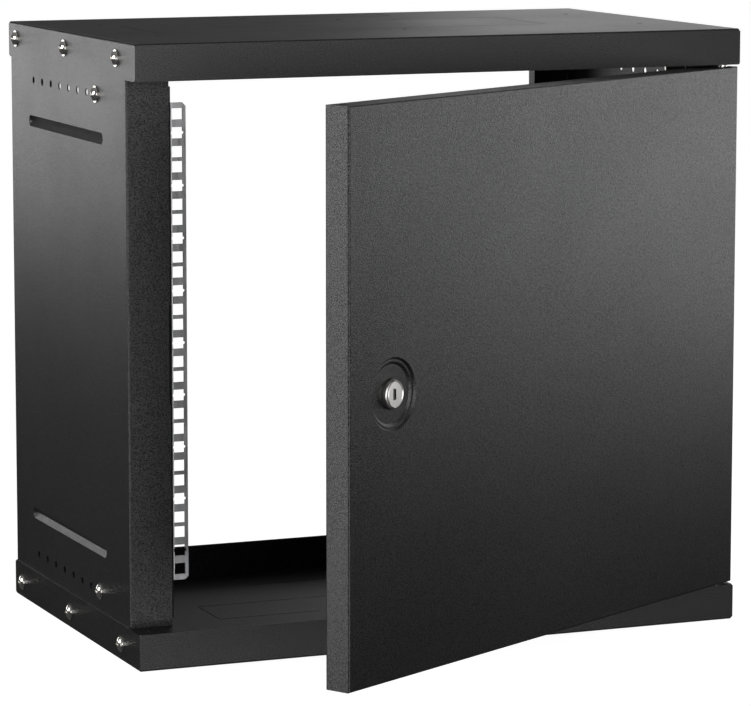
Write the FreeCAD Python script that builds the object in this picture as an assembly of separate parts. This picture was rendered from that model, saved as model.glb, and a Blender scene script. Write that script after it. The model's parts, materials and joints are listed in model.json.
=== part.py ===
"""Wall mount network cabinet, 9U, flat-pack sheet steel, shown with its door part open.

Frame: +X right, +Y towards the wall, +Z up, millimetres.
Origin: the middle of the floor tray's underside.
The side pieces are modelled on the left and mirrored. The door and what it carries are modelled
closed and then swung about the hinge line to the angle at which the cabinet is stored.
"""
import FreeCAD, Part
import math
import os

from FreeCAD import Vector

# --- carcass ---------------------------------------------------------------------------------
depth = 351.2            # front plane to wall
sheet = 1.2              # trays, sides and door
bend_inside = 0.6        # inside radius of every bend in that sheet
tray_flange = 31.5       # height of the trays' flanges
flange_clip = 1.2        # clipped corners at the ends of the flanges
corner_relief = 2.0      # round relief where three bends meet
tray_play = 0.9          # between the sides' ends and the trays' sheets, clear of the bends
past = 1.0               # how far each cut runs past the metal
touching = 1e-6          # points nearer than this are one point

column_setback = 27.8    # front plane to the face of the sides' front return
column_reach = 39.55     # width of the front return, from the side's outer face
column_gap = 0.4         # front return's edge to the rail
rear_reach = 41.65       # width of the rear return
return_lip = 14.0        # depth of the lips that stiffen both returns
lip_end_play = 5.0       # the lips stop this short of the tabs
hinge_tab_reach = 26.3   # depth of the tabs that carry the hinge pins
hinge_tab_inset = 1.0    # tab's inner end, short of the front return's edge
hinge_tab_round = 5.0
hinge_tab_rise = 1.0     # tabs' bends end this far above the trays' flanges
cam_gap_height = 86.5    # gap in the front lip, for the lock's cam
cam_gap_depth = 2.7
cam_gap_round = 3.0

# --- side walls: hole rows and pressed grooves -----------------------------------------------
row_hole_d = 6.4
row_pitch = 25.0
row_count = 8
row_first = 107.0        # first hole, behind the front plane
row_edge = 48.8          # both rows, in from the cabinet's top and bottom
groove_length = 208.0
groove_width = 10.0
groove_depth = 3.0
groove_edge = 85.7       # groove's centre line, in from the cabinet's top and bottom
groove_lead = 18.0       # groove's front end, ahead of the first hole
wall_hole_d = 8.0        # fixing holes in the rear returns
wall_hole_inset = 21.05  # in from the side's outer face
wall_hole_span = 360.0   # between the upper and lower pair

# --- trays: knock-outs ------------------------------------------------------------------------
slit = 1.1               # cut round each knock-out
bridge = 5.0             # uncut stretch that holds it
rear_knockout = (143.0, 36.0)
rear_knockout_y = 315.0  # centre, behind the front plane
floor_knockout = (295.0, 57.0)
floor_knockout_y = 195.5
roof_knockout = (364.0, 115.0)
roof_knockout_x = -30.5
roof_knockout_y = 183.0
roof_hole_d = 5.5
roof_hole_pitch = 229.0
roof_hole_row = 156.0
roof_hole_x = 5.0

# --- 19 inch rails ----------------------------------------------------------------------------
rack_unit = 44.45
rack_units = 9
rack_pitch = 465.12      # across, between the hole columns
rack_clear = 449.8       # across, between the rails' edges
rack_base = 73.0         # lowest unit above the floor's underside
rack_head = 54.95        # room between the highest unit and the roof's top
rack_holes = (6.35, 22.225, 38.1)
cage_hole = 9.5
cage_notch_r = 1.3
rail_face_gap = 4.0      # rail's face behind the front return's face
rail_flange = 14.2       # width of the rail's front flange
rail_sheet = 1.5
rail_bend_inside = 0.2
rail_end = 3.2           # rail past the units, each end
rail_web = 38.0
rail_foot = 23.0
rail_clip = 3.0

# --- rail brackets ----------------------------------------------------------------------------
bracket_sheet = 2.0
bracket_bend_inside = 1.0
bracket_leg = 55.0       # along the side wall
bracket_foot = 35.0      # across, towards the rail
bracket_leg_height = 39.0
bracket_foot_height = 78.0
bracket_row_drop = 14.8  # bracket's outer end beyond the row hole
bracket_bolt_top = 10.0  # first rail bolt, in from the foot's free end
bracket_bolt_pitch = 16.0

# --- fasteners --------------------------------------------------------------------------------
m6 = 6.0
m6_hole = 6.6
m6_head_d = 11.6
m6_head_h = 3.4
m6_washer_d = 14.4
m6_washer_t = 1.0
m6_nut_af = 10.0
m6_nut_h = 5.0
m6_tail = 1.6            # thread past the nut
m5 = 5.0
m5_hole = 5.4
m5_head_d = 9.4
m5_head_h = 2.8
m5_nut_af = 8.0
m5_nut_h = 4.0
m5_tail = 1.2
thread_play = 0.05       # nut bore over thread, on radius
head_rim = 0.3           # straight rim of a round head, as a share of the head's height
tray_screw_edge = 14.5   # tray screws, in from the cabinet's top and bottom
tray_screw_inset = 20.8  # outer tray screws, in from the sides' front and rear faces
driver_slot = 1.6
driver_reach = 6.6
driver_depth = 1.9

# --- door -------------------------------------------------------------------------------------
door_open = 29.7         # degrees, as stored
door_side_play = 3.45    # door's edge to the carcass's outer face
door_base_play = 1.7     # door's lower end to the lower hinge tabs
door_top_play = 2.1      # door's upper end to the upper hinge tabs
door_column_gap = 3.9    # door's back to the face of the front returns
door_lip = 12.0
hinge_edge = 8.3         # hinge line in from the door's edge
hinge_depth = 12.0       # hinge line behind the door's face
dish_rings = ((29.6, 0.0), (28.0, 1.8), (26.0, 1.8), (23.8, 3.4))   # radius, depth
dish_land = 1.5          # flat ring round the steps
dish_seat_r = 12.0
dish_seat_depth = 5.0
dish_seat_ease = 0.6     # sloped edge of the seat
dish_back_step = 1.0     # how far the pressing's back stands out from its front, on radius
lock_inset = 56.3        # lock's centre in from the door's free edge

# --- hinge ------------------------------------------------------------------------------------
pin_d = 5.0
pin_play = 0.06          # running clearance on radius
pin_chamfer = 0.6
bush_d = 8.1
bush_play = 0.1          # bush in the door's hole, on radius
bush_flange_d = 10.5
bush_length = 5.0        # from the outer face of the door's fold
bush_flange_top = 1.0
bush_thrust_gap = 0.3    # lower bush to the tab that it turns on
pin_head_d = 9.0
pin_head_h = 2.4
pin_engage = 12.0        # lower pin's length above the tab
bolt_proud = 4.5         # upper pin above its tab
bolt_travel = 9.0
bolt_length = 49.0       # from the tip to the handle's centre line
bolt_bend = 5.0
bolt_handle = 17.0
bolt_chamfer = 0.8
clip_d = 9.0
clip_t = 0.8
clip_gap = 0.3
clip_groove = 0.5        # depth of the clip's groove in the pin
clip_mouth = 3.6
guide_below = 26.0       # guide's plate below the bush's lower end
guide_sheet = 1.5
guide_width = 14.0
guide_drop = 16.0
guide_lip = 1.0          # guide's plate past the bush's flange
spring_wire = 0.9
spring_play = 0.9        # coil's inside over the pin, on radius
spring_turns = 7
spring_sides = 8         # flats of the wire's section
spring_end_play = 0.1

# --- lock -------------------------------------------------------------------------------------
lock_head_r = 10.5
lock_head_chamfer = 0.3
lock_proud = 0.7         # lock's face ahead of the door's face
lock_barrel_r = 9.25
lock_hole_play = 0.35
lock_nut_af = 24.0
lock_nut_h = 4.0
plug_face_r = 9.7
plug_face_h = 1.7
plug_r = 6.6
plug_play = 0.08
cam_t = 1.8
cam_column_gap = 0.5     # cam's front face behind the front return's sheet, door closed
cam_barrel_gap = 0.3
cam_hub_r = 9.0
cam_tip_r = 6.5
cam_reach = 38.0
cam_square = 7.0
cam_square_play = 0.1
cam_screw_r = 2.0
cam_screw_head_r = 3.5
cam_screw_head_h = 2.2
cam_screw_length = 8.0
key_slot = (2.0, 9.0, 8.0)     # wide, high, deep

# --- derived places ---------------------------------------------------------------------------
front = -depth / 2
rear = depth / 2
bend_outside = bend_inside + sheet
rail_in = rack_clear / 2                     # |x| of the rail's edge
rail_out = rail_in + rail_flange             # |x| of the rail's web
column_edge = rail_out + column_gap          # |x| of the front return's inner edge
side_out = column_edge + column_reach        # side's outer face, on the trays' flanges
side_in = side_out - sheet
width = 2 * (side_out + sheet)
height = rack_base + rack_units * rack_unit + rack_head
column_face = front + column_setback
column_back = column_face + sheet
rear_face = rear - sheet                     # rear return, inside the trays' rear flanges
rear_edge = side_out - rear_reach
tab_low = tray_flange                        # upper face of the lower tabs
tab_high = height - tray_flange              # lower face of the upper tabs
mid = height / 2

rail_face = column_face + rail_face_gap
rail_low = rack_base - rail_end
rail_high = rack_base + rack_units * rack_unit + rail_end
rail_back = rail_face + rail_web
bracket_back = rail_back + bracket_sheet
row_y = [front + row_first + row_pitch * i for i in range(row_count)]
row_z = (row_edge, height - row_edge)
tray_screw_y = (column_face + tray_screw_inset, (column_face + rear_face) / 2, rear_face - tray_screw_inset)

door_half = width / 2 - door_side_play
door_thick = column_setback - door_column_gap
door_low = tab_low + door_base_play
door_high = tab_high - door_top_play
hinge_x = door_half - hinge_edge
hinge_y = front + hinge_depth
lock_x = -door_half + lock_inset
lock_z = (door_low + door_high) / 2
lock_face = -lock_proud                      # depths are counted back from the door's face


# --- helpers ----------------------------------------------------------------------------------
def block(x0, x1, y0, y1, z0, z1):
    """A box between two corners, given in any order."""
    xs, ys, zs = sorted((x0, x1)), sorted((y0, y1)), sorted((z0, z1))
    return Part.makeBox(xs[1] - xs[0], ys[1] - ys[0], zs[1] - zs[0], Vector(xs[0], ys[0], zs[0]))


def rod(radius, start, direction, length):
    """A cylinder from start along direction."""
    return Part.makeCylinder(radius, length, Vector(*start), Vector(*direction))


def ring(outer, inner, start, direction, length):
    return rod(outer, start, direction, length).cut(rod(inner, start, direction, length))


def rounded_face(corners):
    """A flat face from (x, y, radius) corners; a radius of 0 leaves the corner sharp."""
    edges = []
    count = len(corners)
    spots = []
    for i, (x, y, radius) in enumerate(corners):
        here = Vector(x, y, 0)
        if radius <= 0:
            spots.append((here, here, None))
            continue
        before = (Vector(*corners[i - 1][:2], 0) - here).normalize()
        after = (Vector(*corners[(i + 1) % count][:2], 0) - here).normalize()
        half = before.getAngle(after) / 2
        along = radius / math.tan(half)
        middle = (before + after).normalize()
        bulge = here + middle * (radius / math.sin(half) - radius)
        spots.append((here + before * along, here + after * along, bulge))
    for i in range(count):
        start, end, bulge = spots[i]
        if bulge is not None:
            edges.append(Part.Arc(start, bulge, end).toShape())
        following = spots[(i + 1) % count][0]
        if end.distanceToPoint(following) > touching:
            edges.append(Part.LineSegment(end, following).toShape())
    return Part.Face(Part.Wire(edges))


def sheet_face(path, thick, inside):
    """The section of a bent sheet: path runs along one face, the metal lies on its left."""
    points = [Vector(x, y, 0) for x, y in path]
    ways = [(b - a).normalize() for a, b in zip(points, points[1:])]
    lefts = [Vector(-w.y, w.x, 0) for w in ways]
    near, far = [(points[0].x, points[0].y, 0)], [points[0] + lefts[0] * thick]
    far_round = [0]
    for i in range(1, len(points) - 1):
        turns_left = ways[i - 1].cross(ways[i]).z > 0
        near.append((points[i].x, points[i].y, inside + thick if turns_left else inside))
        far.append(points[i] + (lefts[i - 1] + lefts[i]) * thick)
        far_round.append(inside if turns_left else inside + thick)
    near.append((points[-1].x, points[-1].y, 0))
    far.append(points[-1] + lefts[-1] * thick)
    far_round.append(0)
    back = [(p.x, p.y, r) for p, r in zip(far, far_round)]
    return rounded_face(near + back[::-1])


def prism_z(face, z0, z1):
    """A face drawn in x and y, from z0 to z1."""
    solid = face.extrude(Vector(0, 0, z1 - z0))
    solid.translate(Vector(0, 0, z0))
    return solid


def prism_x(face, x0, x1):
    """A face drawn in y and z, from x0 to x1."""
    solid = face.extrude(Vector(0, 0, x1 - x0))
    solid.transformShape(FreeCAD.Matrix(0, 0, 1, x0, 1, 0, 0, 0, 0, 1, 0, 0, 0, 0, 0, 1))
    return solid


def prism_y(face, y0, y1):
    """A face drawn in x and z, from y0 to y1."""
    solid = face.extrude(Vector(0, 0, y0 - y1))
    solid.rotate(Vector(0, 0, 0), Vector(1, 0, 0), 90)
    solid.translate(Vector(0, y0, 0))
    return solid


def hexagon(across_flats):
    radius = across_flats / math.sqrt(3)
    turns = [math.radians(60 * i) for i in range(6)]
    return rounded_face([(radius * math.cos(a), radius * math.sin(a), 0) for a in turns])


def turned(profile, start, direction):
    """A profile of (radius, distance) points, turned about direction from start."""
    points = [Vector(r, 0, d) for r, d in profile]
    face = Part.Face(Part.makePolygon(points + points[:1]))
    solid = face.revolve(Vector(0, 0, 0), Vector(0, 0, 1), 360)
    return placed(solid, start, direction)


def placed(shape, start, direction):
    """Moves a shape made along +Z so that it starts at start and runs along direction."""
    turn = FreeCAD.Rotation(Vector(0, 0, 1), Vector(*direction))
    moved = shape.copy()
    moved.Placement = FreeCAD.Placement(Vector(*start), turn).multiply(moved.Placement)
    return moved


def mirrored(shape):
    return shape.mirror(Vector(0, 0, 0), Vector(1, 0, 0))


def upended(shape):
    """The same piece turned over, top for bottom."""
    return shape.mirror(Vector(0, 0, mid), Vector(0, 0, 1))


def swung(shape):
    """A door piece, swung from closed to the stored angle."""
    moved = shape.copy()
    moved.rotate(Vector(hinge_x, hinge_y, 0), Vector(0, 0, 1), door_open)
    return moved


def save(name, shape):
    shape.exportStep("parts/%s.step" % name)
    print("%-24s %9.1f mm3, %d solid(s), valid %s"
          % (name, shape.Volume, len(shape.Solids), shape.isValid()))


# --- trays ------------------------------------------------------------------------------------
def knockout_cuts(size, centre_x, centre_y, bridges):
    """Slits round a knock-out; its long sides are held by bridges at the given places."""
    half_x, half_y, half_slit = size[0] / 2, size[1] / 2, slit / 2
    low, high = -past, sheet + past
    cuts = []
    for side in (-1, 1):
        x = centre_x + side * half_x
        cuts.append(block(x - half_slit, x + half_slit, centre_y - half_y, centre_y + half_y, low, high))
        stops = [-half_x] + [s for b in bridges for s in (b - bridge / 2, b + bridge / 2)] + [half_x]
        y = centre_y + side * half_y
        for start, end in zip(stops[::2], stops[1::2]):
            cuts.append(block(centre_x + start, centre_x + end, y - half_slit, y + half_slit, low, high))
    return cuts


def thirds(size):
    """Where two bridges part a knock-out's long side into thirds, from its middle."""
    return (-size[0] / 6, size[0] / 6)


def tray(cuts):
    """A tray with its sheet at z = 0 and four flanges up."""
    half = width / 2
    across = sheet_face([(-half, tray_flange), (-half, 0), (half, 0), (half, tray_flange)],
                        sheet, bend_inside)
    along = sheet_face([(front, tray_flange), (front, 0), (rear, 0), (rear, tray_flange)],
                       sheet, bend_inside)
    trough = prism_y(across, front, rear)
    ends = prism_x(along, -half + sheet, half - sheet)
    inner = block(-half - past, half + past, front + bend_outside, rear - bend_outside,
                  -past, tray_flange + past)
    body = trough.common(inner).fuse(ends)
    side_ends = [block(s * half, s * (half - sheet), a, b, bend_outside, tray_flange)
                 for s in (-1, 1)
                 for a, b in ((front, front + bend_outside), (rear - bend_outside, rear))]
    body = body.fuse(side_ends)
    clip = flange_clip
    nicks = []
    for sx in (-1, 1):
        for y in (front, rear):
            nicks.append(Part.makeSphere(corner_relief, Vector(sx * half, y, 0)))
            corner = rounded_face([(0, 0, 0), (clip, 0, 0), (0, clip, 0)])
            wedge = prism_y(corner, -sheet * 2, sheet * 2)
            wedge.rotate(Vector(0, 0, 0), Vector(0, 1, 0), 90 if sx < 0 else 180)
            wedge.translate(Vector(sx * half, y, tray_flange))
            nicks.append(wedge)
    for sx in (-1, 1):
        for y in tray_screw_y:
            outside = (sx * (half + past), y, tray_screw_edge)
            nicks.append(rod(m6_hole / 2, outside, (-sx, 0, 0), sheet + 2 * past))
    return body.cut(nicks + cuts).removeSplitter()


def floor_tray():
    cuts = knockout_cuts(floor_knockout, 0, front + floor_knockout_y, thirds(floor_knockout))
    cuts += knockout_cuts(rear_knockout, 0, front + rear_knockout_y, (0,))
    return tray(cuts)


def roof_tray():
    cuts = knockout_cuts(roof_knockout, roof_knockout_x, front + roof_knockout_y, thirds(roof_knockout))
    cuts += knockout_cuts(rear_knockout, 0, front + rear_knockout_y, (0,))
    for column in (-1, 0, 1):
        for side in (-1, 1):
            spot = (roof_hole_x + column * roof_hole_pitch,
                    front + roof_knockout_y + side * roof_hole_row / 2, -past)
            cuts.append(rod(roof_hole_d / 2, spot, (0, 0, 1), sheet + 2 * past))
    return upended(tray(cuts))


# --- sides ------------------------------------------------------------------------------------
def groove_body(half_width, deep, half_length, z, surface):
    """A V groove with cone ends along y, sunk from |x| = surface on the left side."""
    centre = front + row_first - groove_lead + groove_length / 2
    run = half_length - half_width
    tri = rounded_face([(-half_width, 0, 0), (half_width, 0, 0), (0, deep, 0)])
    bar = prism_y(tri, -run, run)
    bar.rotate(Vector(0, 0, 0), Vector(0, 1, 0), 90)
    bar.translate(Vector(-surface, centre, z))
    cones = [Part.makeCone(half_width, 0, deep, Vector(-surface, centre + s * run, z), Vector(1, 0, 0))
             for s in (-1, 1)]
    return bar.fuse(cones)


def side_panel():
    low, high = sheet + tray_play, height - sheet - tray_play
    section = sheet_face([(-column_edge, column_face + return_lip), (-column_edge, column_face),
                          (-side_out, column_face), (-side_out, rear_face),
                          (-rear_edge, rear_face), (-rear_edge, rear_face - return_lip)][::-1],
                         sheet, bend_inside)
    panel = prism_z(section, low, high)
    fold = tab_low + bend_inside + hinge_tab_rise
    ends = []
    for a, b in ((low - past, fold), (height - fold, high + past)):
        ends.append(block(-side_out - past, -column_edge + past,
                          column_face - past, column_face + bend_outside, a, b))
        ends.append(block(-side_in, -column_edge + past, column_face, column_face + return_lip + past, a, b))
    for a, b in ((fold - past, fold + lip_end_play), (height - fold - lip_end_play, height - fold + past)):
        ends.append(block(-column_edge - bend_outside, -column_edge + past, column_face - past,
                          column_face + return_lip + past, a, b))
    gap = rounded_face([(-column_edge - cam_gap_depth, mid - cam_gap_height / 2, cam_gap_round),
                        (-column_edge + past, mid - cam_gap_height / 2, 0),
                        (-column_edge + past, mid + cam_gap_height / 2, 0),
                        (-column_edge - cam_gap_depth, mid + cam_gap_height / 2, cam_gap_round)])
    ends.append(prism_y(gap, column_face - past, column_face + return_lip + past))
    panel = panel.cut(ends)

    tab_front = column_face - hinge_tab_reach
    fold_section = sheet_face([(column_back, fold), (column_back, tab_low - sheet),
                               (tab_front, tab_low - sheet)][::-1], sheet, bend_inside)
    tab = prism_x(fold_section, -side_out + bend_outside, -column_edge - bend_outside)
    ear = rounded_face([(-side_out + bend_inside, tab_front, 0),
                        (-column_edge - hinge_tab_inset, tab_front, hinge_tab_round),
                        (-column_edge - hinge_tab_inset, column_face - bend_outside, 0),
                        (-side_out + bend_inside, column_face - bend_outside, 0)])
    tab = tab.cut(block(-side_out, 0, tab_front - past, column_face - bend_outside, 0, tab_low + past))
    tab = tab.fuse(prism_z(ear, tab_low - sheet, tab_low))
    tab = tab.cut(rod(pin_d / 2 + pin_play, (-hinge_x, hinge_y, 0), (0, 0, 1), tab_low + past))
    panel = panel.fuse([tab, upended(tab)])

    slope = groove_depth / (groove_width / 2)
    skin = sheet * math.hypot(1, slope)
    cuts, beads = [], []
    for z in (groove_edge, height - groove_edge):
        cuts.append(groove_body(groove_width / 2, groove_depth, groove_length / 2, z, side_out))
        wide = skin / slope
        bead = groove_body(groove_width / 2 + wide, groove_depth + skin, groove_length / 2 + wide,
                           z, side_out)
        beads.append(bead.common(block(-side_out + sheet / 2, 0, front, rear, 0, height)))
    holes = [(row_hole_d, y, z) for y in row_y for z in row_z]
    holes += [(m6_hole, y, z) for y in tray_screw_y for z in (tray_screw_edge, height - tray_screw_edge)]
    cuts += [rod(bore / 2, (-side_out - past, y, z), (1, 0, 0), sheet + 2 * past) for bore, y, z in holes]
    for dz in (-wall_hole_span / 2, wall_hole_span / 2):
        cuts.append(rod(wall_hole_d / 2, (-side_out + wall_hole_inset, rear_face + past, mid + dz),
                        (0, -1, 0), sheet + 2 * past))
    return panel.fuse(beads).cut(cuts).removeSplitter()


# --- rails and their brackets -----------------------------------------------------------------
def bracket_bolts():
    """Heights of the bolts that join a bracket to the rail: lower pair, then upper pair."""
    top = row_edge - bracket_row_drop + bracket_foot_height - bracket_bolt_top
    low = [top - bracket_bolt_pitch, top]
    return low + [height - z for z in low]


def bolt_x():
    return -(rail_out + rail_foot / 2)


def rail():
    foot_face = rail_back - rail_sheet
    flange_back = rail_face + rail_sheet
    low, high = rail_face - past, flange_back + past
    section = sheet_face([(-rail_out - rail_foot + rail_sheet, foot_face), (-rail_out, foot_face),
                          (-rail_out, rail_face), (-rail_in, rail_face)], rail_sheet, rail_bend_inside)
    body = prism_z(section, rail_low, rail_high)
    cuts = []
    x = -rack_pitch / 2
    for unit in range(rack_units):
        for i, drop in enumerate(rack_holes):
            z = rack_base + (rack_units - unit) * rack_unit - drop
            half = cage_hole / 2
            cuts.append(block(x - half, x + half, low, high, z - half, z + half))
            if i == 1:
                cuts += [rod(cage_notch_r, (x + s * half, low, z), (0, 1, 0), flange_back - low)
                         for s in (-1, 1)]
    for z, way in ((rail_low, 1), (rail_high, -1)):
        wedge = rounded_face([(-rail_in, z, 0), (-rail_in - rail_clip, z, 0),
                              (-rail_in, z + way * rail_clip, 0)])
        cuts.append(prism_y(wedge, low, high))
    cuts += [rod(m5_hole / 2, (bolt_x(), rail_back + past, z), (0, -1, 0), rail_sheet + 2 * past)
             for z in bracket_bolts()]
    return body.cut(cuts)


def rail_bracket():
    """Lower left bracket: one leg on the side wall, the other behind the rail's foot."""
    section = sheet_face([(-side_in, rail_back + bracket_leg), (-side_in, rail_back),
                          (-side_in + bracket_foot, rail_back)], bracket_sheet, bracket_bend_inside)
    end = row_edge - bracket_row_drop
    body = prism_z(section, end, end + bracket_foot_height)
    leg_top, foot_top = end + bracket_leg_height, end + bracket_foot_height + past
    bend_end = bracket_back + bracket_bend_inside
    spare = block(-side_in - past, -side_in + bracket_foot, bend_end, rail_back + bracket_leg + past,
                  leg_top, foot_top)
    bend = block(-side_in - past, -side_in + bracket_sheet + bracket_bend_inside,
                 rail_back - past, bend_end + past, leg_top, foot_top)
    cuts = [spare, bend]
    cuts.append(rod(m6_hole / 2, (-side_in - past, row_y[0], row_edge), (1, 0, 0), bracket_sheet + 2 * past))
    cuts += [rod(m5_hole / 2, (bolt_x(), rail_back - past, z), (0, 1, 0), bracket_sheet + 2 * past)
             for z in bracket_bolts()[:2]]
    return body.cut(cuts)


# --- fasteners --------------------------------------------------------------------------------
def round_head(head_d, head_h, shank_d, shank_length, driver):
    """A round-head screw along -Z: seat at z = 0, head above it."""
    rise = head_h * (1 - head_rim)
    radius = ((head_d / 2) ** 2 + rise ** 2) / (2 * rise)
    dome = Part.makeSphere(radius, Vector(0, 0, head_h - radius))
    head = rod(head_d / 2, (0, 0, 0), (0, 0, 1), head_h).common(dome)
    if driver:
        half, reach = driver_slot / 2, driver_reach / 2
        low, high = head_h - driver_depth, head_h + past
        head = head.cut([block(-half, half, -reach, reach, low, high),
                         block(-reach, reach, -half, half, low, high)])
    return head.fuse(rod(shank_d / 2, (0, 0, -shank_length), (0, 0, 1), shank_length))


def hex_nut(across_flats, high, bore_r):
    bore = rod(bore_r, (0, 0, -past), (0, 0, 1), high + 2 * past)
    return prism_z(hexagon(across_flats), 0, high).cut(bore)


def tray_spots():
    return [(side, y, z) for side in (-1, 1) for z in (tray_screw_edge, height - tray_screw_edge)
            for y in tray_screw_y]


def rail_spots():
    return [(side, row_y[0], z) for side in (-1, 1) for z in row_z]


def washers(spots, surface):
    flat = ring(m6_washer_d / 2, m6 / 2 + 2 * thread_play, (0, 0, 0), (0, 0, 1), m6_washer_t)
    return Part.makeCompound([placed(flat, (s * surface, y, z), (s, 0, 0)) for s, y, z in spots])


def side_screws(spots, surface, grip):
    seat = surface + m6_washer_t
    length = m6_washer_t + grip + m6_nut_h + m6_tail
    screw = round_head(m6_head_d, m6_head_h, m6, length, True)
    return Part.makeCompound([placed(screw, (s * seat, y, z), (s, 0, 0)) for s, y, z in spots])


def side_nuts(spots, surface):
    nut = hex_nut(m6_nut_af, m6_nut_h, m6 / 2 + thread_play)
    return Part.makeCompound([placed(nut, (s * surface, y, z), (-s, 0, 0)) for s, y, z in spots])


def bolt_spots():
    return [(s * bolt_x(), z) for s in (1, -1) for z in bracket_bolts()]


def bracket_bolt_set():
    grip = rail_sheet + bracket_sheet
    bolt = round_head(m5_head_d, m5_head_h, m5, grip + m5_nut_h + m5_tail, False)
    seat = rail_back - rail_sheet
    return Part.makeCompound([placed(bolt, (x, seat, z), (0, -1, 0)) for x, z in bolt_spots()])


def bracket_nut_set():
    nut = hex_nut(m5_nut_af, m5_nut_h, m5 / 2 + thread_play)
    return Part.makeCompound([placed(nut, (x, bracket_back, z), (0, 1, 0)) for x, z in bolt_spots()])


# --- door -------------------------------------------------------------------------------------
def edges_along(shape, axis, test):
    """Straight edges of a shape that run along an axis and whose middle passes a test."""
    found = []
    for edge in shape.Edges:
        a, b = edge.Vertexes[0].Point, edge.Vertexes[-1].Point
        way = b - a
        if abs(abs(way[axis]) - way.Length) < touching and test((a + b) * 0.5):
            found.append(edge)
    return found


def pan_block(inset, radius):
    """The door's outline, drawn in by inset, with its bends rounded."""
    y0, y1 = front + inset, front + door_thick - inset
    body = block(-door_half + inset, door_half - inset, y0, y1, door_low + inset, door_high - inset)
    picked = edges_along(body, 2, lambda m: True)
    picked += edges_along(body, 0, lambda m: m.y < y0 + touching)
    return body.makeFillet(radius, picked)


def dish():
    """The stepped round pressing that the lock sits in, as one ring of sheet."""
    rim = dish_rings[0][0] + dish_land
    hole = lock_barrel_r + lock_hole_play
    flat = dish_rings[-1][1]
    step = dish_back_step
    face = [(rim, 0.0)] + list(dish_rings)
    face += [(dish_seat_r + dish_seat_ease, flat), (dish_seat_r, flat + dish_seat_ease),
             (dish_seat_r, dish_seat_depth), (hole, dish_seat_depth)]
    back = [(hole, dish_seat_depth + sheet), (dish_seat_r + sheet, dish_seat_depth + sheet),
            (dish_seat_r + sheet, flat + sheet)]
    back += [(r + step, d + sheet) for r, d in dish_rings[::-1]]
    back += [(rim + step, sheet), (rim + step, 0.0)]
    return turned(face + back, (lock_x, front, lock_z), (0, 1, 0))


def door_panel():
    shell = pan_block(0, bend_outside).cut(pan_block(sheet, bend_inside))
    mouth = block(-door_half + door_lip, door_half - door_lip, front + door_thick - 2 * sheet,
                  front + door_thick + past, door_low + sheet, door_high - sheet)
    rim = dish_rings[0][0] + dish_land + dish_back_step
    shell = shell.cut([mouth, rod(rim, (lock_x, front - past, lock_z), (0, 1, 0), 2 * sheet + past)])
    shell = shell.fuse(dish())
    holes = [rod(bush_d / 2 + bush_play, (s * hinge_x, hinge_y, z), (0, 0, 1), 2 * sheet + past)
             for s in (-1, 1) for z in (door_low - past, door_high - 2 * sheet)]
    return shell.cut(holes).removeSplitter()


# --- hinge ------------------------------------------------------------------------------------
def bush(fold_face, way, flange_t):
    """A flanged bush in a fold of the door: flange outside, way points into the door."""
    spot = (hinge_x, hinge_y, fold_face)
    body = rod(bush_d / 2, spot, (0, 0, way), bush_length)
    body = body.fuse(rod(bush_flange_d / 2, spot, (0, 0, -way), flange_t))
    bore = rod(pin_d / 2 + pin_play, (hinge_x, hinge_y, fold_face - way * (flange_t + past)),
               (0, 0, way), bush_length + flange_t + 2 * past)
    return body.cut(bore)


def hinge_bush_bottom():
    return bush(door_low, 1, door_base_play - bush_thrust_gap)


def hinge_bush_top():
    return bush(door_high, -1, bush_flange_top)


def hinge_pin_bottom():
    under = tab_low - sheet
    head = rod(pin_head_d / 2, (hinge_x, hinge_y, under - pin_head_h), (0, 0, 1), pin_head_h)
    stem = rod(pin_d / 2, (hinge_x, hinge_y, under), (0, 0, 1), sheet + pin_engage)
    tip = [e for e in stem.Edges if abs(e.CenterOfMass.z - under - sheet - pin_engage) < touching]
    return head.fuse(stem.makeChamfer(pin_chamfer, tip))


def bush_end():
    return door_high - bush_length


def hinge_bolt():
    """The sprung upper pin, with a handle bent inwards at its foot."""
    tip = tab_high + sheet + bolt_proud
    foot = tip - bolt_length
    radius = pin_d / 2
    stem = rod(radius, (hinge_x, hinge_y, foot + bolt_bend), (0, 0, 1), bolt_length - bolt_bend)
    upper = [e for e in stem.Edges if abs(e.CenterOfMass.z - tip) < touching]
    stem = stem.makeChamfer(bolt_chamfer, upper)
    elbow = Part.makeTorus(bolt_bend, radius, Vector(hinge_x - bolt_bend, hinge_y, foot + bolt_bend),
                           Vector(0, 1, 0))
    elbow = elbow.common(block(hinge_x - bolt_bend, hinge_x + pin_d, hinge_y - pin_d, hinge_y + pin_d,
                               foot - pin_d, foot + bolt_bend))
    handle = rod(radius, (hinge_x - bolt_bend, hinge_y, foot), (-1, 0, 0), bolt_handle - bolt_bend)
    top = bush_end() - clip_gap
    groove = ring(pin_d, radius - clip_groove, (hinge_x, hinge_y, top - clip_t), (0, 0, 1), clip_t)
    return stem.fuse([elbow, handle]).cut(groove)


def hinge_bolt_clip():
    """A retaining clip in the pin's groove; the spring pushes on it."""
    top = bush_end() - clip_gap
    bore = pin_d / 2 - clip_groove + thread_play
    body = ring(clip_d / 2, bore, (hinge_x, hinge_y, top - clip_t), (0, 0, 1), clip_t)
    mouth = block(hinge_x - clip_mouth / 2, hinge_x + clip_mouth / 2, hinge_y, hinge_y + clip_d,
                  top - clip_t - past, top + past)
    return body.cut(mouth)


def guide_top():
    return bush_end() - guide_below


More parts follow.
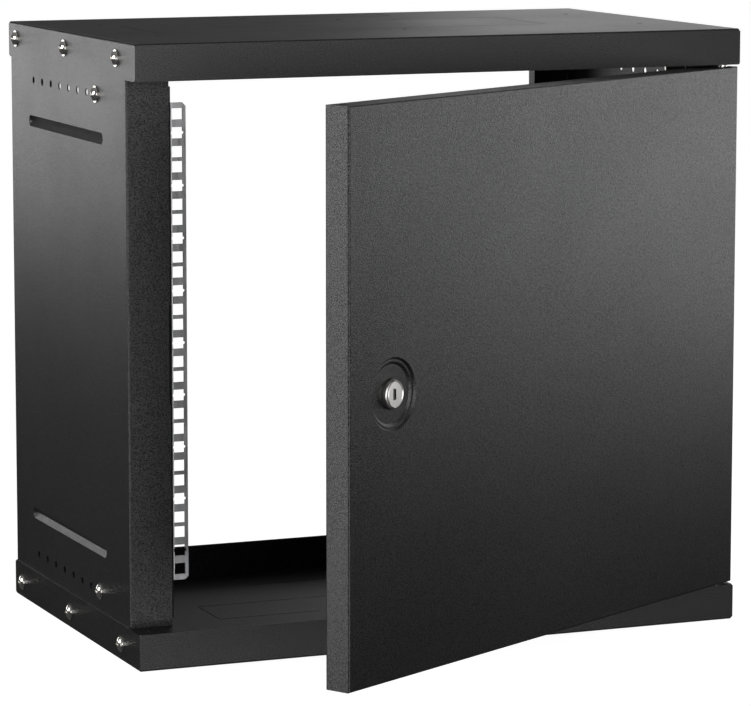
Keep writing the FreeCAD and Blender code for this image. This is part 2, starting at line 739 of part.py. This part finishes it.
def hinge_guide():
    """An L bracket on the door's hinge-side flange that guides the sprung pin."""
    wall = door_half - sheet
    reach = hinge_edge - sheet + bush_flange_d / 2 + guide_lip
    top = guide_top()
    section = sheet_face([(wall, top - guide_drop), (wall, top), (wall - reach, top)],
                         guide_sheet, bend_inside)
    body = prism_y(section, hinge_y - guide_width / 2, hinge_y + guide_width / 2)
    return body.cut(rod(pin_d / 2 + pin_play, (hinge_x, hinge_y, top - 2 * guide_sheet), (0, 0, 1),
                        3 * guide_sheet))


def hinge_spring():
    """The coil between the guide and the clip, on the pin: a wire with flats along a helix."""
    wire = spring_wire / 2
    coil_r = pin_d / 2 + spring_play + wire
    low = guide_top() + wire + spring_end_play
    high = bush_end() - clip_gap - clip_t - wire - spring_end_play
    half_turn = math.pi / spring_sides
    turns = [half_turn * (2 * i + 1) for i in range(spring_sides)]
    corner = wire / math.cos(half_turn)
    outline = [Vector(coil_r + corner * math.cos(a), 0, corner * math.sin(a)) for a in turns]
    helix = Part.makeHelix((high - low) / spring_turns, high - low, coil_r)
    coil = Part.Wire(helix).makePipeShell([Part.makePolygon(outline + outline[:1])], True, True)
    coil.translate(Vector(hinge_x, hinge_y, low))
    return coil


# --- lock -------------------------------------------------------------------------------------
def lock_depths():
    """Depths behind the door's face: barrel's end, cam's front, cam's back."""
    cam_front = column_setback + sheet + cam_column_gap
    return cam_front - cam_barrel_gap, cam_front, cam_front + cam_t


def lock_body():
    end = lock_depths()[0]
    face_bore, bore = plug_face_r + plug_play, plug_r + plug_play
    shelf = lock_face + plug_face_h + plug_play
    profile = [(face_bore, lock_face), (lock_head_r - lock_head_chamfer, lock_face),
               (lock_head_r, lock_face + lock_head_chamfer), (lock_head_r, dish_seat_depth),
               (lock_barrel_r, dish_seat_depth), (lock_barrel_r, end), (bore, end), (bore, shelf),
               (face_bore, shelf)]
    return turned(profile, (lock_x, front, lock_z), (0, 1, 0))


def lock_nut():
    seat = dish_seat_depth + sheet
    nut = hex_nut(lock_nut_af, lock_nut_h, lock_barrel_r + thread_play)
    return placed(nut, (lock_x, front + seat, lock_z), (0, 1, 0))


def lock_plug():
    end, cam_front, cam_back = lock_depths()
    shelf = lock_face + plug_face_h
    profile = [(0, lock_face), (plug_face_r, lock_face), (plug_face_r, shelf), (plug_r, shelf),
               (plug_r, cam_front), (0, cam_front)]
    plug = turned(profile, (lock_x, front, lock_z), (0, 1, 0))
    half = cam_square / 2
    boss = block(lock_x - half, lock_x + half, front + cam_front, front + cam_back,
                 lock_z - half, lock_z + half)
    wide, high, deep = key_slot
    slot = block(lock_x - wide / 2, lock_x + wide / 2, front + lock_face - past, front + lock_face + deep,
                 lock_z - high / 2, lock_z + high / 2)
    thread = rod(cam_screw_r + thread_play, (lock_x, front + cam_back + past, lock_z), (0, -1, 0),
                 cam_screw_length + 2 * past)
    return plug.fuse(boss).cut([slot, thread])


def lock_cam():
    """A flat cam that hangs down when the lock is open."""
    cam_front, cam_back = lock_depths()[1:]
    far = cam_reach - cam_tip_r
    hub = rod(cam_hub_r, (0, 0, 0), (0, 1, 0), cam_t)
    tip = rod(cam_tip_r, (0, 0, -far), (0, 1, 0), cam_t)
    lean = math.asin((cam_hub_r - cam_tip_r) / far)
    ends = ((-1, cam_hub_r, 0), (1, cam_hub_r, 0), (1, cam_tip_r, -far), (-1, cam_tip_r, -far))
    sides = [(s * r * math.cos(lean), z - r * math.sin(lean), 0) for s, r, z in ends]
    cam = hub.fuse([tip, prism_y(rounded_face(sides), 0, cam_t)]).removeSplitter()
    half = cam_square / 2 + cam_square_play
    cam = cam.cut(block(-half, half, -past, cam_t + past, -half, half))
    cam.translate(Vector(lock_x, front + cam_front, lock_z))
    return cam


def lock_screw():
    cam_back = lock_depths()[2]
    screw = round_head(2 * cam_screw_head_r, cam_screw_head_h, 2 * cam_screw_r, cam_screw_length, False)
    return placed(screw, (lock_x, front + cam_back, lock_z), (0, 1, 0))


# --- the assembly -----------------------------------------------------------------------------
def main():
    os.makedirs("parts", exist_ok=True)
    save("floor_tray", floor_tray())
    save("roof_tray", roof_tray())
    side = side_panel()
    save("left_side", side)
    save("right_side", mirrored(side))
    left_rail = rail()
    save("left_rail", left_rail)
    save("right_rail", mirrored(left_rail))
    bracket = rail_bracket()
    save("left_low_bracket", bracket)
    save("left_high_bracket", upended(bracket))
    save("right_low_bracket", mirrored(bracket))
    save("right_high_bracket", mirrored(upended(bracket)))

    out = width / 2
    save("tray_screws", side_screws(tray_spots(), out, 2 * sheet))
    save("tray_screw_washers", washers(tray_spots(), out))
    save("tray_nuts", side_nuts(tray_spots(), side_in))
    save("rail_screws", side_screws(rail_spots(), side_out, sheet + bracket_sheet))
    save("rail_screw_washers", washers(rail_spots(), side_out))
    save("rail_nuts", side_nuts(rail_spots(), side_in - bracket_sheet))
    save("bracket_bolts", bracket_bolt_set())
    save("bracket_nuts", bracket_nut_set())

    save("hinge_pin_bottom", hinge_pin_bottom())
    for name, make in (("door_panel", door_panel),
                       ("hinge_bush_bottom", hinge_bush_bottom), ("hinge_bush_top", hinge_bush_top),
                       ("hinge_bolt", hinge_bolt), ("hinge_bolt_clip", hinge_bolt_clip),
                       ("hinge_guide", hinge_guide), ("hinge_spring", hinge_spring),
                       ("lock_body", lock_body), ("lock_nut", lock_nut), ("lock_plug", lock_plug),
                       ("lock_cam", lock_cam), ("lock_screw", lock_screw)):
        save(name, swung(make()))


main()
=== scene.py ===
"""Looks of the wall mount network cabinet: powder-coated sheet steel with bright fasteners."""
import bpy
import json
import math
from mathutils import Vector, Matrix


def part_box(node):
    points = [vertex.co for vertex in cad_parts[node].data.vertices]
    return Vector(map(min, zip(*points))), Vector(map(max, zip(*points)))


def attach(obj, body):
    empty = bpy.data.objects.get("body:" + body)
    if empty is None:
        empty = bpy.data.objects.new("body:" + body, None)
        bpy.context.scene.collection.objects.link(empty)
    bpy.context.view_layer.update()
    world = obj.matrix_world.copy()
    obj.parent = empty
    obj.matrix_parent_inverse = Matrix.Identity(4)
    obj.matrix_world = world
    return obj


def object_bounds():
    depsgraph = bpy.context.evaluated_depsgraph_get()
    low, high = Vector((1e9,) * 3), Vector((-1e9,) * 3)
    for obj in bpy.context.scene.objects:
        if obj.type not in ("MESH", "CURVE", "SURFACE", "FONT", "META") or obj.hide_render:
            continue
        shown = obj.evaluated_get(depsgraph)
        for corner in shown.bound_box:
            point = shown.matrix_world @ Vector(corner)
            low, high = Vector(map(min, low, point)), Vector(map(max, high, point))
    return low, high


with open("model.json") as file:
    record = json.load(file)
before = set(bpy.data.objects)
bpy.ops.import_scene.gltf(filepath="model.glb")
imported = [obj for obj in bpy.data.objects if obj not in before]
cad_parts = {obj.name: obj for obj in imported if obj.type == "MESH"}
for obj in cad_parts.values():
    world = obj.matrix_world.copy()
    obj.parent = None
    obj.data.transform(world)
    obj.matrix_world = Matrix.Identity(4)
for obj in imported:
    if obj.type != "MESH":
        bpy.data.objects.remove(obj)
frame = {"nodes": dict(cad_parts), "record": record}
cad_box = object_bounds()
nodes = frame["nodes"]


# --- camera -----------------------------------------------------------------------------------
def look(eye, forward):
    """World matrix of a camera at eye with no roll."""
    ahead = Vector(forward).normalized()
    right = ahead.cross(Vector((0, 0, 1))).normalized()
    up = right.cross(ahead)
    turn = Matrix((right, up, -ahead)).transposed().to_4x4()
    return Matrix.Translation(eye) @ turn


camera_data = bpy.data.cameras.new("camera")
camera_data.sensor_width = 36.0
camera_data.lens = 183.9
camera_data.shift_x = 0.0164
camera_data.shift_y = -0.0260
camera = bpy.data.objects.new("camera", camera_data)
camera.matrix_world = look((-1.3043, -3.1663, 0.7311), (0.3759, 0.9162, -0.1391))
bpy.context.scene.collection.objects.link(camera)
bpy.context.scene.camera = camera


# --- materials --------------------------------------------------------------------------------
def grey(level):
    """A neutral colour of one linear level."""
    return (level, level, level)


class Shader:
    """A small helper that builds one node material."""

    def __init__(self, name):
        self.material = bpy.data.materials.new(name)
        self.material.use_nodes = True
        self.tree = self.material.node_tree
        self.tree.nodes.clear()
        self.out = self.tree.nodes.new("ShaderNodeOutputMaterial")
        self.bsdf = self.tree.nodes.new("ShaderNodeBsdfPrincipled")
        self.link(self.bsdf.outputs["BSDF"], self.out.inputs["Surface"])
        self.coords = self.tree.nodes.new("ShaderNodeTexCoord").outputs["Object"]

    def link(self, a, b):
        self.tree.links.new(a, b)

    def set(self, name, value):
        """Gives one of the surface's inputs the same value all over."""
        self.bsdf.inputs[name].default_value = value

    def noise(self, scale, detail, stretch=None):
        """A noise whose scale is in cells per metre."""
        source = self.coords
        if stretch:
            mapping = self.tree.nodes.new("ShaderNodeMapping")
            mapping.inputs["Scale"].default_value = stretch
            self.link(self.coords, mapping.inputs["Vector"])
            source = mapping.outputs["Vector"]
        node = self.tree.nodes.new("ShaderNodeTexNoise")
        node.inputs["Scale"].default_value = scale
        node.inputs["Detail"].default_value = detail
        node.inputs["Roughness"].default_value = 0.5
        self.link(source, node.inputs["Vector"])
        return node.outputs["Fac"]

    def spread(self, source, low, high):
        """Maps the middle of a noise's range onto low to high."""
        node = self.tree.nodes.new("ShaderNodeMapRange")
        node.inputs["From Min"].default_value = 0.3
        node.inputs["From Max"].default_value = 0.7
        node.inputs["To Min"].default_value = low
        node.inputs["To Max"].default_value = high
        self.link(source, node.inputs["Value"])
        return node.outputs["Result"]

    def ramp(self, source, stops):
        """Colours a noise by two (place, colour) stops."""
        node = self.tree.nodes.new("ShaderNodeValToRGB")
        for element, (place, colour) in zip(node.color_ramp.elements, stops):
            element.position = place
            element.color = (*colour, 1)
        self.link(source, node.inputs["Fac"])
        return node.outputs["Color"]

    def bump(self, height, distance, strength):
        node = self.tree.nodes.new("ShaderNodeBump")
        node.inputs["Strength"].default_value = strength
        node.inputs["Distance"].default_value = distance
        self.link(height, node.inputs["Height"])
        return node.outputs["Normal"]

    def feed(self, name, source):
        """Gives one of the surface's inputs a value that varies."""
        self.link(source, self.bsdf.inputs[name])


def powder_coat():
    """Black fine-texture powder coat: satin grains over a slightly uneven film."""
    s = Shader("black_powder_coat")
    grain = s.noise(1350.0, 1.0)
    film = s.noise(9.0, 2.0)
    s.feed("Base Color", s.ramp(grain, [(0.3, grey(0.001)), (0.75, grey(0.011))]))
    s.feed("Roughness", s.spread(film, 0.33, 0.38))
    s.feed("Specular IOR Level", s.spread(grain, 0.16, 0.77))
    s.feed("Normal", s.bump(grain, 0.0003, 0.7))
    return s.material


def plated(name, tint, rough, streak, wear=0.2):
    """Plated steel: a soft patchy sheen with fine drawn lines."""
    s = Shader(name)
    patch = s.noise(60.0, 3.0)
    lines = s.noise(400.0, 2.0, streak)
    dark = tuple(0.86 * c for c in tint)
    s.feed("Base Color", s.ramp(patch, [(0.3, dark), (0.7, tint)]))
    s.feed("Roughness", s.spread(lines, (1 - wear) * rough, (1 + wear) * rough))
    s.feed("Normal", s.bump(lines, 0.00002, 0.1))
    s.set("Metallic", 1.0)
    return s.material


def painted_slot_shade():
    """Near-black matte steel deep in a slot: painted shade standing in for the shade there."""
    s = Shader("painted_slot_shade")
    # Near-black base colour and low specular paint the shade deep in the slot.
    s.feed("Base Color", s.ramp(s.noise(900.0, 3.0), [(0.3, grey(0.002)), (0.7, grey(0.005))]))
    s.set("Roughness", 0.7)
    s.set("Specular IOR Level", 0.05)
    return s.material


# Painted shade for the inside of the key slot.
SLOT_SHADE = painted_slot_shade()
LOOKS = {
    "black_powder_coat": powder_coat(),
    "rail_zinc": plated("rail_zinc", (0.42, 0.42, 0.43), 0.40, (1, 1, 0.08)),
    "zinc_plate": plated("zinc_plate", (0.60, 0.59, 0.56), 0.32, (1, 0.2, 1)),
    "screw_nickel": plated("screw_nickel", (0.90, 0.88, 0.84), 0.09, (1, 1, 1)),
    "bush_nickel": plated("bush_nickel", (0.85, 0.83, 0.79), 0.16, (1, 1, 1)),
    "lock_chrome": plated("lock_chrome", (0.92, 0.90, 0.88), 0.34, (0.2, 0.2, 0.2), 0.02),
}
for part in frame["record"]["subparts"]:
    mesh = nodes[part["node"]].data
    mesh.materials.clear()
    mesh.materials.append(LOOKS[part["material_slot"]])


# --- the lock's skirt and shutter -------------------------------------------------------------
def lathe(name, profile):
    """A smooth ring of (radius, height) points turned about its own Z."""
    rows = len(profile)
    steps = 72
    turns = [2 * math.pi * i / steps for i in range(steps)]
    spots = [(r * math.cos(a), r * math.sin(a), h) for a in turns for r, h in profile]
    faces = []
    for i in range(steps):
        here, after = i * rows, (i + 1) % steps * rows
        for j in range(rows):
            k = (j + 1) % rows
            faces.append((here + j, after + j, after + k, here + k))
    mesh = bpy.data.meshes.new(name)
    mesh.from_pydata(spots, [], faces)
    mesh.shade_smooth()
    piece = bpy.data.objects.new(name, mesh)
    bpy.context.scene.collection.objects.link(piece)
    return piece


def middle_of(node):
    """The middle of a node's box."""
    low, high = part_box(node)
    return (low + high) / 2


def on_lock(piece, look_of, body):
    """Sets a piece made at the origin on the lock's face, square to it, and lets it ride a body."""
    axis = (middle_of("lock_plug") - middle_of("lock_screw")).normalized()
    centre = middle_of("lock_plug")
    face = max(axis.dot(v.co) for v in nodes["lock_body"].data.vertices)
    side = Vector((0, 0, 1)).cross(axis)
    turn = Matrix((side, Vector((0, 0, 1)), axis)).transposed().to_4x4()
    piece.matrix_world = Matrix.Translation(centre + axis * (face - axis.dot(centre))) @ turn
    piece.data.materials.append(look_of)
    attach(piece, body)


def lock_bezel():
    """The flared chrome skirt round the lock's head, seated in the dish.

    Radii are from the lock's axis and heights from its face, in metres.
    """
    inner, mouth, foot = 0.01051, 0.01056, 0.01190
    edge, seat = -0.0001, -0.0040
    rows = 8
    shares = [i / rows for i in range(rows + 1)]
    flare = [(mouth + (foot - mouth) * share, edge + (seat - edge) * share) for share in shares]
    piece = lathe("lock_bezel", [(inner, seat), (inner, edge)] + flare)
    on_lock(piece, LOOKS["lock_chrome"], "door")


def key_shutter():
    """A dust shutter just inside the key slot; its near-black matte finish is painted shade for the
    dark of the slot.
    """
    half_wide, half_high = 0.00075, 0.0044
    depth, thick = -0.0004, 0.0003
    rows = 8
    turns = [math.pi * i / rows for i in range(rows + 1)]
    top = [(half_wide * math.cos(a), half_high - half_wide + half_wide * math.sin(a)) for a in turns]
    outline = top + [(-x, -y) for x, y in top]
    count = len(outline)
    spots = [(x, y, z) for z in (depth, depth - thick) for x, y in outline]
    faces = [tuple(range(count)), tuple(range(2 * count - 1, count - 1, -1))]
    faces += [(i, i + count, (i + 1) % count + count, (i + 1) % count) for i in range(count)]
    mesh = bpy.data.meshes.new("key_shutter")
    mesh.from_pydata(spots, [], faces)
    piece = bpy.data.objects.new("key_shutter", mesh)
    bpy.context.scene.collection.objects.link(piece)
    # The shutter wears the near-black painted shade of the key slot.
    on_lock(piece, SLOT_SHADE, "lock")


lock_bezel()
key_shutter()


# --- studio -----------------------------------------------------------------------------------
def studio_floor():
    """A pale floor that fills the view; it doesn't show in the object's reflections."""
    mesh = bpy.data.meshes.new("studio_floor")
    half = 30.0
    below_feet = 0.0005
    corners = [(-half, -half, 0), (half, -half, 0), (half, half, 0), (-half, half, 0)]
    mesh.from_pydata(corners, [], [(0, 1, 2, 3)])
    floor = bpy.data.objects.new("studio_floor", mesh)
    floor.location = (0, 0, cad_box[0][2] - below_feet)
    bpy.context.scene.collection.objects.link(floor)
    s = Shader("studio_floor")
    s.feed("Base Color", s.ramp(s.noise(4.0, 3.0), [(0.3, grey(0.20)), (0.7, grey(0.22))]))
    s.set("Roughness", 0.8)
    s.set("Emission Color", (*grey(1), 1))
    s.set("Emission Strength", 0.94)
    mesh.materials.append(s.material)
    floor.visible_glossy = False
    floor.visible_diffuse = False
    floor.visible_shadow = False


def soft_panel(name, place, target, size, glow):
    """A flat soft light; glow is its brightness per area, whatever its size."""
    data = bpy.data.lights.new(name, "AREA")
    data.shape = "RECTANGLE"
    data.size, data.size_y = size
    data.energy = glow * math.pi * size[0] * size[1]
    lamp = bpy.data.objects.new(name, data)
    lamp.matrix_world = look(place, Vector(target) - Vector(place))
    lamp.visible_camera = False
    bpy.context.scene.collection.objects.link(lamp)


def studio_sky():
    """Dim all round and a little brighter overhead."""
    world = bpy.data.worlds.new("world")
    world.use_nodes = True
    tree = world.node_tree
    back = tree.nodes["Background"]
    coords = tree.nodes.new("ShaderNodeTexCoord")
    split = tree.nodes.new("ShaderNodeSeparateXYZ")
    ramp = tree.nodes.new("ShaderNodeValToRGB")
    tree.links.new(coords.outputs["Generated"], split.inputs["Vector"])
    tree.links.new(split.outputs["Z"], ramp.inputs["Fac"])
    tree.links.new(ramp.outputs["Color"], back.inputs["Color"])
    horizon, zenith = ramp.color_ramp.elements
    horizon.position = 0.0
    horizon.color = (*grey(0.06), 1)
    zenith.position = 0.95
    zenith.color = (*grey(0.30), 1)
    bpy.context.scene.world = world


# Each panel is placed where one face of the cabinet mirrors it towards the camera.
studio_sky()
studio_floor()
soft_panel("right_of_door", (1.25, -0.22, 0.57), (0.1, -0.38, 0.53), (1.1, 0.92), 2.35)
soft_panel("behind_left", (-0.95, 1.65, 0.39), (-0.28, 0.0, 0.31), (1.4, 0.34), 2.3)
soft_panel("behind_right", (2.2, 2.8, 1.25), (0.25, 0.0, 0.5), (1.8, 1.0), 1.05)
soft_panel("left_of_door", (-0.85, -0.45, 0.25), (-0.2, -0.43, 0.22), (0.5, 0.9), 2.6)
soft_panel("far_left", (-2.4, 0.45, 0.80), (-0.28, 0.0, 0.35), (0.9, 0.9), 6.5)
soft_panel("front", (0.0, -3.2, 0.5), (-0.1, -0.2, 0.3), (2.6, 2.6), 3.1)
bpy.context.scene.view_settings.view_transform = "Standard"
